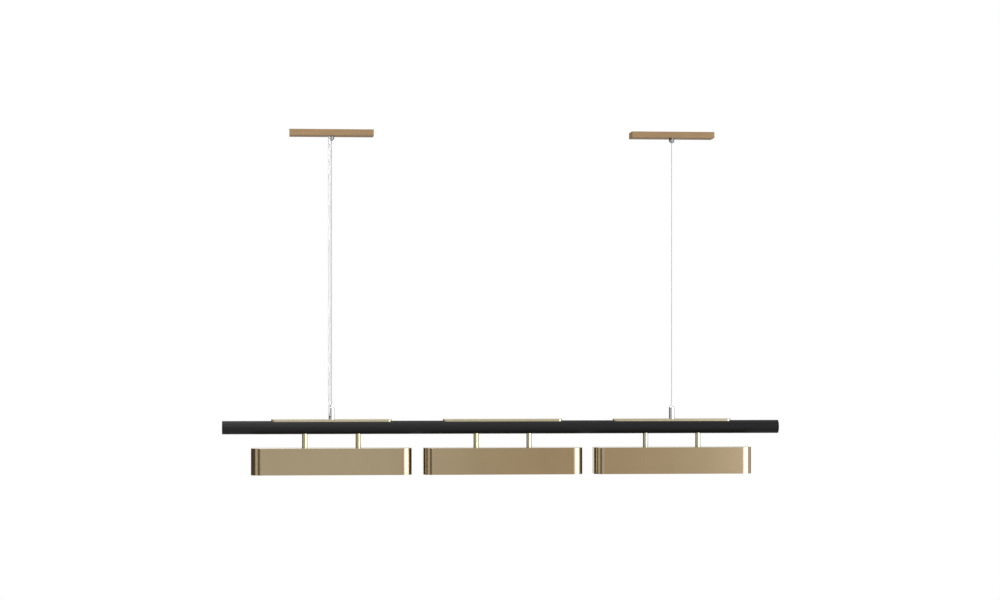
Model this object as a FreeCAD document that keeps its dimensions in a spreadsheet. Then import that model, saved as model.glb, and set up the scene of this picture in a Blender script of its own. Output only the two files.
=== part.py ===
import FreeCAD, Part
import Sketcher
import math
import os
import re

# Linear island pendant: three wide brass shades under one black tube, hung on two wires.
# Millimetres. +X runs along the tube, -Y faces the viewer, +Z is up.
# The origin is on the ceiling, midway between the two canopies.

doc = FreeCAD.newDocument("linear_island_pendant")

sizes = {
    # whole lamp
    "wire_spacing": 900,  # between the two suspension wires
    "hanging_drop": 746,  # canopy underside to the top of the tube
    "lamp_pitch": 450,  # between shade centres
    "run_gap": 0.3,  # between pieces that move past each other
    "seat_gap": 0.05,  # between pieces that are pushed together
    # canopies
    "canopy_length": 220,
    "canopy_depth": 60,
    "canopy_height": 16,
    "canopy_wall": 1.2,
    "canopy_corner": 1.6,
    # ceiling brackets
    "bracket_width": 16,
    "bracket_sheet": 2,
    "bracket_web": 100,
    "bracket_drop": 10,
    "bracket_tab": 12,
    "slot_spacing": 150,
    "slot_length": 14,
    "slot_width": 5,
    "side_screw_dia": 4,
    "side_screw_length": 6,
    # wire holders under the canopies
    "holder_dia": 14,
    "holder_height": 12,
    "holder_taper": 3.5,
    "holder_mouth": 6.6,
    "holder_swing": 1.8,
    "holder_stud_dia": 8,
    "holder_nut_flats": 13,
    "holder_nut_height": 5,
    "pin_dia": 4,
    "pin_length": 12,
    "pin_drop": 5,
    # suspension wires and the power cord
    "wire_dia": 1.5,
    "wire_tail": 19,
    "wire_crimp_dia": 2.2,
    "wire_crimp_length": 5,
    "cord_dia": 6,
    "cord_left": 5.9,
    "cord_front": 9.8,
    "cord_play": 1.1,
    "core_dia": 1.6,
    "core_spread": 1.3,
    "core_rise": 6.3,
    "core_offset": 18,
    "bush_lip": 1.5,
    # wire grippers
    "gripper_dia": 15,
    "gripper_height": 33.4,
    "gripper_taper": 2.5,
    "gripper_neck": 10,
    "gripper_stud_dia": 10,
    "gripper_stud_bore": 7,
    "gripper_stud_drop": 13,
    "gripper_stud_grip": 5,
    "gripper_chamber_dia": 9.8,
    "gripper_seat_level": 15,
    "gripper_seat_height": 1.5,
    "gripper_ball_dia": 3,
    "gripper_ball_level": 23,
    "gripper_cone_base": 18,
    "gripper_cone_top": 26,
    "gripper_cone_dia": 6.6,
    "gripper_nut_flats": 14,
    "gripper_nut_height": 6,
    "plunger_dia": 5.2,
    "plunger_collar_dia": 6,
    "plunger_collar_height": 2.2,
    "plunger_bore": 2.2,
    "plunger_rise": 4,
    "plunger_sheet": 0.9,
    "plunger_edge": 0.5,
    "spring_dia": 7.4,
    "spring_sheet": 0.8,
    "port_dia": 6.8,
    "port_level": 12.6,
    # tube
    "tube_length": 1470,
    "tube_dia": 35,
    "tube_wall": 1.5,
    "cap_height": 5,
    "cap_plug": 12,
    "tube_lead_dia": 2,
    "connector_length": 16,
    "connector_width": 6,
    "connector_height": 5,
    "connector_offset": 26,
    # saddle plates
    "plate_length": 315,
    "plate_width": 18,
    "plate_sheet": 4.5,
    "plate_edge": 0.5,
    "plate_skin": 1.5,
    "spot_depth": 1.4,
    # stems and the threaded rods through them
    "stem_dia": 14,
    "stem_spacing": 140,
    "stem_length": 36,
    "rod_dia": 10,
    "rod_bore": 7,
    "rod_window": 5,
    "rod_nut_flats": 14,
    "rod_nut_height": 4,
    "rod_end": 1,
    # shades
    "shade_length": 420,
    "shade_depth": 80,
    "shade_height": 70,
    "shade_wall": 1.5,
    "shade_corner": 26,
    "shade_edge": 0.8,
    # inside a shade
    "tray_length": 380,
    "tray_width": 66,
    "tray_sheet": 3,
    "tray_flange": 2,
    "tray_height": 50,
    "board_length": 370,
    "board_width": 44,
    "board_sheet": 1.6,
    "chip_size": 3,
    "chip_height": 0.8,
    "chip_rows": 30,
    "chip_step": 32,
    "plug_size": 6,
    "plug_height": 5,
    "plug_offset": 17,
    "diffuser_recess": 8,
    "diffuser_height": 20,
    "diffuser_wall": 2,
    "clip_length": 14,
    "clip_height": 7,
    "clip_spacing": 300,
    "clip_sheet": 0.6,
    # driver and terminal block in the left canopy
    "driver_length": 150,
    "driver_width": 18,
    "driver_height": 13,
    "driver_back": 19.5,
    "terminal_length": 30,
    "terminal_width": 12,
    "terminal_height": 10,
    "terminal_front": 22,
}

chipCount = 12  # LED packages along one row
alongX = FreeCAD.Rotation(FreeCAD.Vector(0, 1, 0), 90)
alongY = FreeCAD.Rotation(FreeCAD.Vector(1, 0, 0), -90)

sheet = doc.addObject("Spreadsheet::Sheet", "Sizes")
for row, (name, size) in enumerate(sizes.items(), 1):
    sheet.set(f"A{row}", name)
    sheet.set(f"B{row}", str(size))
    sheet.setAlias(f"B{row}", name)
doc.recompute()

# Levels and places, as formulas of the sizes
tubeZ = "(-canopy_height - hanging_drop - tube_dia / 2)"
crownZ = "(-canopy_height - hanging_drop + plate_sheet)"
seatZ = f"({crownZ} - spot_depth)"
shadeZ = f"({tubeZ} - tube_dia / 2 - stem_length)"
trayZ = f"({shadeZ} - shade_wall)"
boardZ = f"({trayZ} - tray_sheet)"
pinZ = "(-canopy_height - pin_drop)"
floorZ = "(-canopy_height + canopy_wall)"
screwZ = "(-bracket_sheet - bracket_tab / 2)"
leftX = "(-wire_spacing / 2)"
rightX = "(wire_spacing / 2)"
lampX = {"left": "(-lamp_pitch)", "middle": "(0 * lamp_pitch)", "right": "(lamp_pitch)"}
hangX = {"left": leftX, "right": rightX}

nodes = []


def formula(text):
    """The formula with the sheet's name before each size."""
    return re.sub(r"[a-z]+(?:_[a-z]+)+", lambda found: "Sizes." + found.group(), str(text))


def value(text):
    """The number that a formula gives with the present sizes."""
    return float(sheet.evalExpression(formula(text)))


def bind(item, **properties):
    for name, text in properties.items():
        item.setExpression(name, formula(text))
    return item


def place(item, x="0", y="0", z="0", turn=None):
    if turn:
        item.Placement = FreeCAD.Placement(FreeCAD.Vector(), turn)
    for axis, text in (("x", x), ("y", y), ("z", z)):
        item.setExpression("Placement.Base." + axis, formula(text))
    return item


def node(label, item):
    """Gives a finished piece its own name."""
    item.Label = label
    nodes.append(item)
    return item


# Plain solids


def block(length, width, height, x="0", y="0", z="0"):
    """A box centred on x and y, standing on z."""
    item = bind(doc.addObject("Part::Box", "block"), Length=length, Width=width, Height=height)
    return place(item, f"{x} - ({length}) / 2", f"{y} - ({width}) / 2", z)


def rod(dia, length, x="0", y="0", z="0", turn=None):
    """A cylinder that starts at x, y, z and runs up, or along the turned axis."""
    item = bind(doc.addObject("Part::Cylinder", "rod"), Radius=f"({dia}) / 2", Height=length)
    return place(item, x, y, z, turn)


def ball(dia, x, y, z):
    return place(bind(doc.addObject("Part::Sphere", "ball"), Radius=f"({dia}) / 2"), x, y, z)


def hexagon(flats, height, x, y, z):
    item = doc.addObject("Part::Prism", "hexagon")
    item.Polygon = 6
    bind(item, Circumradius=f"({flats}) / sqrt(3)", Height=height)
    return place(item, x, y, z)


def joined(*items):
    item = doc.addObject("Part::MultiFuse", "joined")
    item.Shapes = list(items)
    return item


def group(*items):
    item = doc.addObject("Part::Compound", "group")
    item.Links = list(items)
    return item


def less(base, *tools):
    item = doc.addObject("Part::Cut", "less")
    item.Base = base
    item.Tool = tools[0] if len(tools) == 1 else joined(*tools)
    return item


def shared(base, tool):
    item = doc.addObject("Part::Common", "shared")
    item.Base = base
    item.Tool = tool
    return item


# Bodies with sketches


def body(x="0", y="0", z="0"):
    return place(doc.addObject("PartDesign::Body", "body"), x, y, z)


def sketch(owner, role, level="0"):
    """A sketch on one of the body's own planes, moved along the plane's normal by level."""
    plane = [item for item in owner.Origin.OriginFeatures if item.Role == role][0]
    item = owner.newObject("Sketcher::SketchObject", "sketch")
    item.AttachmentSupport = [(plane, "")]
    item.MapMode = "FlatFace"
    item.setExpression("AttachmentOffset.Base.z", formula(level))
    return item


def tie(drawing, kind, formulaText, *where):
    """A sketch constraint whose size follows a formula."""
    number = drawing.addConstraint(Sketcher.Constraint(kind, *where, value(formulaText)))
    drawing.setExpression(f"Constraints[{number}]", formula(formulaText))


def outline(drawing, points):
    """A closed outline of straight lines through points, each a pair of formulas."""
    spots = [FreeCAD.Vector(value(across), value(up), 0) for across, up in points]
    first = drawing.GeometryCount
    for number, spot in enumerate(spots):
        drawing.addGeometry(Part.LineSegment(spot, spots[(number + 1) % len(spots)]), False)
    for number, (across, up) in enumerate(points):
        after = first + (number + 1) % len(points)
        drawing.addConstraint(Sketcher.Constraint("Coincident", first + number, 2, after, 1))
        tie(drawing, "DistanceX", across, -1, 1, first + number, 1)
        tie(drawing, "DistanceY", up, -1, 1, first + number, 1)
    return drawing


def rectangle(drawing, length, width, x="0", y="0"):
    left, right = f"{x} - ({length}) / 2", f"{x} + ({length}) / 2"
    low, high = f"{y} - ({width}) / 2", f"{y} + ({width}) / 2"
    return outline(drawing, [(left, low), (right, low), (right, high), (left, high)])


def circle(drawing, dia, x="0", y="0"):
    centre = FreeCAD.Vector(value(x), value(y), 0)
    upright = FreeCAD.Vector(0, 0, 1)
    number = drawing.addGeometry(Part.Circle(centre, upright, value(dia) / 2), False)
    tie(drawing, "DistanceX", x, -1, 1, number, 3)
    tie(drawing, "DistanceY", y, -1, 1, number, 3)
    tie(drawing, "Diameter", dia, number)
    return drawing


def pad(owner, drawing, length, both=False, downwards=False):
    item = owner.newObject("PartDesign::Pad", "pad")
    item.Profile = drawing
    item.SideType = "Symmetric" if both else "One side"
    item.Reversed = downwards
    return bind(item, Length=length)


def pocket(owner, drawing, length, both=False, upwards=False):
    item = owner.newObject("PartDesign::Pocket", "pocket")
    item.Profile = drawing
    item.SideType = "Symmetric" if both else "One side"
    item.Reversed = upwards
    return bind(item, Length=length)


def row(owner, feature, drawing, axis, length, count):
    """Repeats a feature count times over a length along one of its sketch's axes."""
    item = owner.newObject("PartDesign::LinearPattern", "row")
    item.Originals = [feature]
    item.Direction = (drawing, [axis])
    item.Occurrences = count
    bind(item, Length=length)
    owner.Tip = item
    return item


def dressed(owner, kind, chosen, **properties):
    """A fillet, chamfer or thickness on the chosen edges or faces of the body so far."""
    doc.recompute()
    base = owner.Tip
    item = owner.newObject("PartDesign::" + kind, kind.lower())
    item.Base = (base, chosen(base.Shape))
    return bind(item, **properties)


def uprightEdges(shape):
    """The names of the vertical edges."""
    found = []
    for number, edge in enumerate(shape.Edges, 1):
        box = edge.BoundBox
        if box.ZLength > 1e-3 and box.XLength < 1e-6 and box.YLength < 1e-6:
            found.append(f"Edge{number}")
    return found


def edgesAt(height):
    """A chooser of the edges that lie at one height in the body's own frame."""

    def chosen(shape):
        return [
            f"Edge{number}"
            for number, edge in enumerate(shape.Edges, 1)
            if edge.BoundBox.ZLength < 1e-6 and abs(edge.BoundBox.ZMin - value(height)) < 1e-6
        ]

    return chosen


def faceAt(height):
    """A chooser of the flat face that lies at one height in the body's own frame."""

    def chosen(shape):
        return [
            f"Face{number}"
            for number, face in enumerate(shape.Faces, 1)
            if face.BoundBox.ZLength < 1e-6 and abs(face.BoundBox.ZMin - value(height)) < 1e-6
        ]

    return chosen


def turned(profile, x, y, z):
    """A body turned about its upright axis from a half profile of (radius, height) pairs."""
    owner = body(x, y, z)
    drawing = outline(sketch(owner, "XZ_Plane"), profile)
    item = owner.newObject("PartDesign::Revolution", "turned")
    item.Profile = drawing
    item.ReferenceAxis = (drawing, ["V_Axis"])
    item.Angle = 360
    return owner


# Cords and leads


def tube(label, points, dia):
    """A round lead along straight runs joined by tangent arcs, through points of numbers."""
    spots = [FreeCAD.Vector(*point) for point in points]
    edges, radii, at = [], [], spots[0]
    for before, corner, after in zip(spots, spots[1:], spots[2:]):
        back, ahead = before - corner, after - corner
        turn = math.pi - back.getAngle(ahead)
        reach = 0.45 * min(back.Length, ahead.Length)
        radii.append(round(reach / math.tan(turn / 2), 1))
        back.normalize()
        ahead.normalize()
        start, end = corner + back * reach, corner + ahead * reach
        inward = back + ahead
        inward.normalize()
        toMiddle = math.hypot(reach / math.tan(turn / 2), reach) - reach / math.tan(turn / 2)
        middle = corner + inward * toMiddle
        edges.append(Part.LineSegment(at, start).toShape())
        edges.append(Part.Arc(start, middle, end).toShape())
        at = end
    edges.append(Part.LineSegment(at, spots[-1]).toShape())
    path = Part.Wire(edges)
    direction = spots[1] - spots[0]
    section = Part.Wire(Part.makeCircle(dia / 2, spots[0], direction))
    shape = path.makePipeShell([section], True, False)
    ideal = math.pi * dia * dia / 4 * path.Length
    print(label, "length", round(path.Length, 1), "radii", radii)
    print(label, "volume share", round(shape.Volume / ideal, 4))
    return shape


def cable(name, *shapes):
    item = doc.addObject("Part::Feature", name)
    item.Shape = shapes[0] if len(shapes) == 1 else Part.makeCompound(list(shapes))
    return item


# Ceiling side


def canopyCover(side):
    owner = body(hangX[side], "0", "-canopy_height")
    pad(owner, rectangle(sketch(owner, "XY_Plane"), "canopy_length", "canopy_depth"), "canopy_height")
    dressed(owner, "Fillet", uprightEdges, Radius="canopy_corner")
    dressed(owner, "Thickness", faceAt("canopy_height"), Value="canopy_wall").Reversed = True
    dressed(owner, "Fillet", edgesAt("0"), Radius="canopy_corner / 2")
    doc.recompute()
    stud = circle(sketch(owner, "XY_Plane"), "holder_stud_dia + 2 * run_gap")
    pocket(owner, stud, "canopy_wall * 2", both=True)
    level = f"{screwZ} + canopy_height"
    screws = circle(sketch(owner, "YZ_Plane"), "side_screw_dia + 2 * run_gap", "0", level)
    pocket(owner, screws, "canopy_length + 2", both=True)
    if side == "left":
        outlet = sketch(owner, "XY_Plane")
        roundSlot(outlet, "cord_dia + 4 * run_gap + 2 * canopy_wall", "2 * cord_play")
        pocket(owner, outlet, "canopy_wall * 2", both=True)
    return node(side + "_canopy_cover", owner)


def roundSlot(drawing, width, travel):
    """A slot with round ends, long in Y, around the place where the cord comes down."""
    x, y = "-cord_left", "-cord_front"
    radius = value(width) / 2
    across, far, near = value(x), value(f"{y} - ({travel}) / 2"), value(f"{y} + ({travel}) / 2")
    up = FreeCAD.Vector(0, 0, 1)
    top = Part.Circle(FreeCAD.Vector(across, near, 0), up, radius)
    low = Part.Circle(FreeCAD.Vector(across, far, 0), up, radius)
    drawing.addGeometry(Part.ArcOfCircle(top, 0, math.pi), False)
    drawing.addGeometry(Part.ArcOfCircle(low, math.pi, 2 * math.pi), False)
    leftTop, leftLow = FreeCAD.Vector(across - radius, near, 0), FreeCAD.Vector(across - radius, far, 0)
    rightTop, rightLow = FreeCAD.Vector(across + radius, near, 0), FreeCAD.Vector(across + radius, far, 0)
    drawing.addGeometry(Part.LineSegment(leftTop, leftLow), False)
    drawing.addGeometry(Part.LineSegment(rightLow, rightTop), False)
    for first, firstEnd, second, secondEnd in ((0, 2, 2, 1), (2, 2, 1, 1), (1, 2, 3, 1), (3, 2, 0, 1)):
        drawing.addConstraint(Sketcher.Constraint("Tangent", first, firstEnd, second, secondEnd))
    for arc, text in ((0, f"{y} + ({travel}) / 2"), (1, f"{y} - ({travel}) / 2")):
        tie(drawing, "DistanceY", text, -1, 1, arc, 3)
    tie(drawing, "DistanceX", x, -1, 1, 0, 3)
    tie(drawing, "Radius", f"({width}) / 2", 0)
    return drawing


def ceilingBracket(side):
    """A strap on the ceiling, with a dropped middle for the wire holder and turned-down ends."""
    owner = body(hangX[side], "0", "0")
    half = "(canopy_length / 2 - canopy_wall - run_gap)"
    bend = "(bracket_web / 2)"
    right = [
        (bend, "-bracket_drop - bracket_sheet"),
        (bend, "-bracket_sheet"),
        (f"{half} - bracket_sheet", "-bracket_sheet"),
        (f"{half} - bracket_sheet", "-bracket_sheet - bracket_tab"),
        (half, "-bracket_sheet - bracket_tab"),
        (half, "0"),
        (f"{bend} - bracket_sheet", "0"),
        (f"{bend} - bracket_sheet", "-bracket_drop"),
    ]
    left = [(f"-({across})", up) for across, up in reversed(right)]
    profile = outline(sketch(owner, "XZ_Plane"), right + left)
    pad(owner, profile, "bracket_width", both=True)
    straight = "(slot_length - slot_width)"
    slots = sketch(owner, "XY_Plane")
    rounds = sketch(owner, "XY_Plane")
    for direction in ("-", ""):
        x = f"{direction}slot_spacing / 2"
        rectangle(slots, straight, "slot_width", x)
        circle(rounds, "slot_width", f"{x} - {straight} / 2")
        circle(rounds, "slot_width", f"{x} + {straight} / 2")
    pocket(owner, slots, "2 * bracket_sheet + 1", both=True)
    pocket(owner, rounds, "2 * bracket_sheet + 1", both=True)
    stud = circle(sketch(owner, "XY_Plane"), "holder_stud_dia + 2 * run_gap")
    pocket(owner, stud, "2 * (bracket_drop + 2 * bracket_sheet)", both=True)
    screws = circle(sketch(owner, "YZ_Plane"), "side_screw_dia + 2 * seat_gap", "0", screwZ)
    pocket(owner, screws, "canopy_length", both=True)
    return node(side + "_ceiling_bracket", owner)


def canopyScrews():
    """Set screws through the narrow ends of the canopies into the brackets."""
    found = []
    for x in hangX.values():
        for direction in ("-", "+"):
            middle = f"{x} {direction} (canopy_length / 2 - side_screw_length / 2)"
            start = f"{middle} - side_screw_length / 2"
            found.append(rod("side_screw_dia", "side_screw_length", start, "0", screwZ, alongX))
    return node("canopy_screws", group(*found))


def wireHolder(side):
    stem = "(holder_stud_dia / 2)"
    top = "(canopy_height - bracket_drop + bracket_sheet + holder_nut_height)"
    drop = "-holder_height"
    profile = [
        ("0", top),
        (stem, top),
        (stem, "0"),
        ("holder_dia / 2", "0"),
        ("holder_dia / 2", f"{drop} + holder_taper"),
        ("holder_mouth / 2", drop),
        ("wire_dia / 2 + holder_swing", drop),
        ("wire_dia", "-pin_drop"),
        ("0", "-pin_drop"),
    ]
    owner = turned(profile, hangX[side], "0", "-canopy_height")
    cross = circle(sketch(owner, "YZ_Plane"), "pin_dia + 2 * seat_gap", "0", "-pin_drop")
    pocket(owner, cross, "holder_dia + 2", both=True)
    return node(side + "_wire_holder", owner)


def holderNuts():
    found = []
    for x in hangX.values():
        z = "-bracket_drop"
        nut = hexagon("holder_nut_flats", "holder_nut_height", x, "0", z)
        hole = rod("holder_stud_dia + 2 * seat_gap", "holder_nut_height + 2", x, "0", f"{z} - 1")
        found.append(less(nut, hole))
    return node("holder_nuts", group(*found))


def wirePins():
    """The cross pins that the wires hang from, with a blind hole for the wire."""
    found = []
    for x in hangX.values():
        pin = rod("pin_dia", "pin_length", f"{x} - pin_length / 2", "0", pinZ, alongX)
        hole = rod("wire_dia + 4 * seat_gap", "pin_dia", x, "0", f"{pinZ} - pin_dia + pin_dia / 8")
        found.append(less(pin, hole))
    return node("wire_pins", group(*found))


def cordBush():
    """A plastic bush that lines the cord's outlet, with a lip inside the canopy."""
    owner = body(leftX, "0", "-canopy_height")
    outer = "cord_dia + 4 * run_gap + 2 * canopy_wall - 2 * seat_gap"
    pad(owner, roundSlot(sketch(owner, "XY_Plane"), outer, "2 * cord_play"), "canopy_wall + bush_lip")
    bore = roundSlot(sketch(owner, "XY_Plane"), "cord_dia + 4 * run_gap", "2 * cord_play")
    pocket(owner, bore, "4 * canopy_wall + 4", both=True)
    return node("cord_bush", owner)


def canopyElectrics():
    floor = f"({floorZ} + seat_gap)"
    driver = block("driver_length", "driver_width", "driver_height", leftX, "driver_back", floor)
    node("led_driver", driver)
    front = "(-terminal_front)"
    terminal = block(
        "terminal_length", "terminal_width", "terminal_height", f"{leftX} - cord_left", front, floor
    )
    wells = []
    for number in range(3):
        x = f"{leftX} - cord_left + ({number} - 1) * terminal_length / 3"
        half = "terminal_height / 2"
        wells.append(rod("terminal_width / 3", f"{half} + 1", x, front, f"{floor} + {half}"))
    return node("terminal_block", less(terminal, *wells))


def canopyLeads():
    """Cores from the cord to the terminal block, and from the block to the driver."""
    level = f"({floorZ} + core_rise)"
    back = "(-terminal_front + terminal_width / 2)"
    found = []
    for number in range(2):
        x = f"{leftX} - cord_left - core_offset + {number} * 3 * core_dia"
        reach = f"(driver_back - driver_width / 2 - {back})"
        found.append(rod("core_dia", reach, x, back, level, alongY))
    shapes = []
    for direction in ("-", "+"):
        x = value(f"{leftX} - cord_left {direction} core_spread")
        y = value("-cord_front")
        low = value(f"{floorZ} + run_gap")
        points = [(x, y, low), (x, y, value(level)), (x, value(back), value(level))]
        shapes.append(tube("canopy core", points, value("core_dia")))
    return node("canopy_leads", group(cable("cord_cores", *shapes), *found))


# Suspension


def wire(side):
    """The suspension wire, from its cross pin to the crimp on its end inside the tube."""
    x = hangX[side]
    top = f"({pinZ} + pin_dia / 8 - seat_gap * 2)"
    end = f"({seatZ} - wire_tail)"
    line = rod("wire_dia", f"{top} - {end}", x, "0", end)
    crimp = rod("wire_crimp_dia", "wire_crimp_length", x, "0", end)
    return node(side + "_wire", joined(line, crimp))


def powerCord():
    """Hangs straight beside the left wire, then turns into the side of the left gripper."""
    x, y = value("-cord_left"), value("-cord_front")
    away = math.hypot(x, y)
    outward = FreeCAD.Vector(x / away, y / away, 0)
    middle = FreeCAD.Vector(value(leftX), 0, 0)
    surface = value("gripper_dia / 2")
    level = value(f"{seatZ} + port_level")
    low = middle + outward * away + FreeCAD.Vector(0, 0, level + away - surface)
    end = middle + outward * (surface - 0.4) + FreeCAD.Vector(0, 0, level - 0.4)
    top = middle + FreeCAD.Vector(x, y, value(floorZ))
    shape = tube("power cord", [top, low, end], value("cord_dia"))
    return node("power_cord", cable("power_cord_tube", shape))


# Grippers


def gripperBody(side):
    bore = "(gripper_chamber_dia / 2)"
    top = "gripper_height"
    stop = "(gripper_height - plunger_rise)"
    profile = [
        ("gripper_stud_dia / 2 + seat_gap", "0"),
        ("gripper_dia / 2", "0"),
        ("gripper_dia / 2", f"{top} - gripper_taper"),
        ("gripper_neck / 2", top),
        ("plunger_dia / 2 + run_gap", top),
        ("plunger_dia / 2 + run_gap", stop),
        ("gripper_cone_dia / 2", stop),
        ("gripper_cone_dia / 2", "gripper_cone_top"),
        (bore, "gripper_cone_base"),
        (bore, "gripper_stud_grip + seat_gap"),
        ("gripper_stud_dia / 2 + seat_gap", "gripper_stud_grip + seat_gap"),
    ]
    owner = turned(profile, hangX[side], "0", seatZ)
    if side == "right":
        return node("right_gripper_body", owner)
    x, y = value("-cord_left"), value("-cord_front")
    outward = FreeCAD.Vector(x, y, 0).normalize()
    slope = FreeCAD.Rotation(FreeCAD.Vector(0, 0, 1), outward + FreeCAD.Vector(0, 0, 1))
    port = bind(doc.addObject("Part::Cylinder", "port"), Radius="port_dia / 2", Height="gripper_dia")
    inner = "(gripper_chamber_dia / 2 - port_dia / 4)"
    share = "/ sqrt(cord_left ^ 2 + cord_front ^ 2)"
    place(
        port,
        f"{leftX} - cord_left * {inner} {share}",
        f"-cord_front * {inner} {share}",
        f"{seatZ} + port_level - gripper_dia / 2 + {inner}",
        slope,
    )
    return node("left_gripper_body", less(owner, port))


def gripperPlunger(side):
    """A sleeve round the wire that is pushed down onto the balls."""
    bore = "plunger_bore / 2"
    collarTop = "(gripper_height - plunger_rise - run_gap)"
    top = "(gripper_height + plunger_rise)"
    foot = "(gripper_ball_level + gripper_ball_dia / 2 + seat_gap)"
    tail = "(plunger_bore / 2 + plunger_sheet)"
    profile = [
        (bore, foot),
        (tail, foot),
        (tail, f"{collarTop} - plunger_collar_height"),
        ("plunger_collar_dia / 2", f"{collarTop} - plunger_collar_height"),
        ("plunger_collar_dia / 2", collarTop),
        ("plunger_dia / 2", collarTop),
        ("plunger_dia / 2", f"{top} - plunger_edge"),
        ("plunger_dia / 2 - plunger_edge", top),
        (bore, top),
    ]
    return node(side + "_gripper_plunger", turned(profile, hangX[side], "0", seatZ))


def gripperBalls(side):
    found = []
    for number in range(3):
        angle = number * 120 + 90
        reach = "(wire_dia / 2 + gripper_ball_dia / 2 + 2 * seat_gap)"
        x = f"{hangX[side]} + {reach} * cos({angle} deg)"
        y = f"{reach} * sin({angle} deg)"
        found.append(ball("gripper_ball_dia", x, y, f"{seatZ} + gripper_ball_level"))
    return node(side + "_gripper_balls", group(*found))


def gripperSpring(side):
    """The return spring under the balls, as a plain sleeve of its outer size."""
    x = hangX[side]
    low = "(gripper_seat_level + gripper_seat_height + seat_gap)"
    height = f"(gripper_ball_level - gripper_ball_dia / 2 - seat_gap - {low})"
    outer = rod("spring_dia", height, x, "0", f"{seatZ} + {low}")
    inner = rod("spring_dia - 2 * spring_sheet", f"{height} + 2", x, "0", f"{seatZ} + {low} - 1")
    return node(side + "_gripper_spring", less(outer, inner))


def gripperHardware():
    studs, seats, nuts = [], [], []
    for x in hangX.values():
        length = "(gripper_stud_drop + gripper_stud_grip)"
        low = f"({seatZ} - gripper_stud_drop)"
        outer = rod("gripper_stud_dia", length, x, "0", low)
        inner = rod("gripper_stud_bore", f"{length} + 2", x, "0", f"{low} - 1")
        studs.append(less(outer, inner))
        level = f"({seatZ} + gripper_seat_level)"
        disc = rod("gripper_chamber_dia - 2 * seat_gap", "gripper_seat_height", x, "0", level)
        hole = rod("plunger_bore + 1", "gripper_seat_height + 2", x, "0", f"{level} - 1")
        seats.append(less(disc, hole))
        nuts.append(gripperNut(x))
    node("gripper_studs", group(*studs))
    node("gripper_seats", group(*seats))
    return node("gripper_nuts", group(*nuts))


def gripperNut(x):
    """A nut inside the tube whose top is milled to the tube's inner curve."""
    inside = "(tube_dia / 2 - tube_wall)"
    top = f"({tubeZ} + {inside})"
    low = f"{top} - gripper_nut_height"
    blank = hexagon("gripper_nut_flats", "gripper_nut_height", x, "0", low)
    hole = rod("gripper_stud_dia + 2 * seat_gap", "gripper_nut_height + 2", x, "0", f"{low} - 1")
    start = f"{x} - gripper_nut_flats"
    curve = rod(f"2 * ({inside} - seat_gap)", "2 * gripper_nut_flats", start, "0", tubeZ, alongX)
    return shared(less(blank, hole), curve)


# Tube


def mainTube():
    owner = body("0", "0", tubeZ)
    ring = circle(sketch(owner, "YZ_Plane"), "tube_dia")
    circle(ring, "tube_dia - 2 * tube_wall")
    pad(owner, ring, "tube_length - 2 * cap_height", both=True)
    holes = sketch(owner, "XY_Plane")
    for direction in ("-", "+"):
        circle(holes, "rod_dia + 2 * seat_gap", f"-lamp_pitch {direction} stem_spacing / 2")
    doc.recompute()
    through = pocket(owner, holes, "tube_dia + 2", both=True)
    row(owner, through, holes, "H_Axis", "2 * lamp_pitch", 3)
    doc.recompute()
    studs = sketch(owner, "XY_Plane")
    for x in hangX.values():
        circle(studs, "gripper_stud_dia + 2 * run_gap", x)
    pocket(owner, studs, "tube_dia", upwards=True)
    return node("tube", owner)


def endCaps():
    """Flush caps, each with a hollow plug that sits in the tube."""
    found = []
    for direction, turn in (("-", -90), ("+", 90)):
        face = bind(doc.addObject("Part::Cylinder", "face"), Radius="tube_dia / 2", Height="cap_height")
        plug = bind(
            doc.addObject("Part::Cylinder", "plug"),
            Radius="tube_dia / 2 - tube_wall - seat_gap",
            Height="cap_plug",
        )
        core = bind(
            doc.addObject("Part::Cylinder", "core"),
            Radius="tube_dia / 2 - 2 * tube_wall",
            Height="cap_plug",
        )
        turn = FreeCAD.Rotation(FreeCAD.Vector(0, 1, 0), turn)
        seat = f"0 {direction} (tube_length / 2 - cap_height)"
        place(face, seat, "0", tubeZ, turn)
        inner = f"0 {direction} (tube_length / 2 - cap_height - cap_plug)"
        place(plug, inner, "0", tubeZ, turn)
        place(core, inner, "0", tubeZ, turn)
        found.append(joined(face, less(plug, core)))
    return node("end_caps", group(*found))


leadY = "(-10)"
leadZ = f"({tubeZ} - 6)"


def tubeLead():
    """The lead from the cord, down the hollow stud and along the tube past the three lamps."""
    x, y = value("-cord_left"), value("-cord_front")
    away = math.hypot(x, y)
    outward = FreeCAD.Vector(x / away, y / away, 0)
    middle = FreeCAD.Vector(value(leftX), 0, value(seatZ))
    level = value("port_level")
    surface = value("gripper_dia / 2")
    start = middle + outward * (surface - 0.8) + FreeCAD.Vector(0, 0, level - 0.8)
    inner = 2.3
    bend = middle + outward * inner + FreeCAD.Vector(0, 0, level - surface + inner + 1)
    low = middle + outward * inner + FreeCAD.Vector(0, 0, -value("gripper_stud_drop") - 5)
    along, down = value(leadY), value(leadZ)
    points = [
        start,
        bend,
        low,
        FreeCAD.Vector(value(leftX) + 4, along + 2, value(seatZ) - 24),
        FreeCAD.Vector(value(leftX) + 28, along, down),
        FreeCAD.Vector(value("lamp_pitch + stem_spacing / 2") - 24, along, down),
    ]
    return node("tube_lead", cable("tube_lead_tube", tube("tube lead", points, value("tube_lead_dia"))))


def leadConnectors():
    """A connector on the lead beside the right-hand rod of each lamp."""
    found = []
    for x in lampX.values():
        middle = f"({x} + stem_spacing / 2 - connector_offset)"
        case = block(
            "connector_length", "connector_width", "connector_height",
            middle, leadY, f"{leadZ} - connector_height / 2",
        )
        start = f"{middle} - connector_length"
        hole = rod("tube_lead_dia + 2 * seat_gap", "2 * connector_length", start, leadY, leadZ, alongX)
        found.append(less(case, hole))
    return node("lead_connectors", group(*found))


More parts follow.
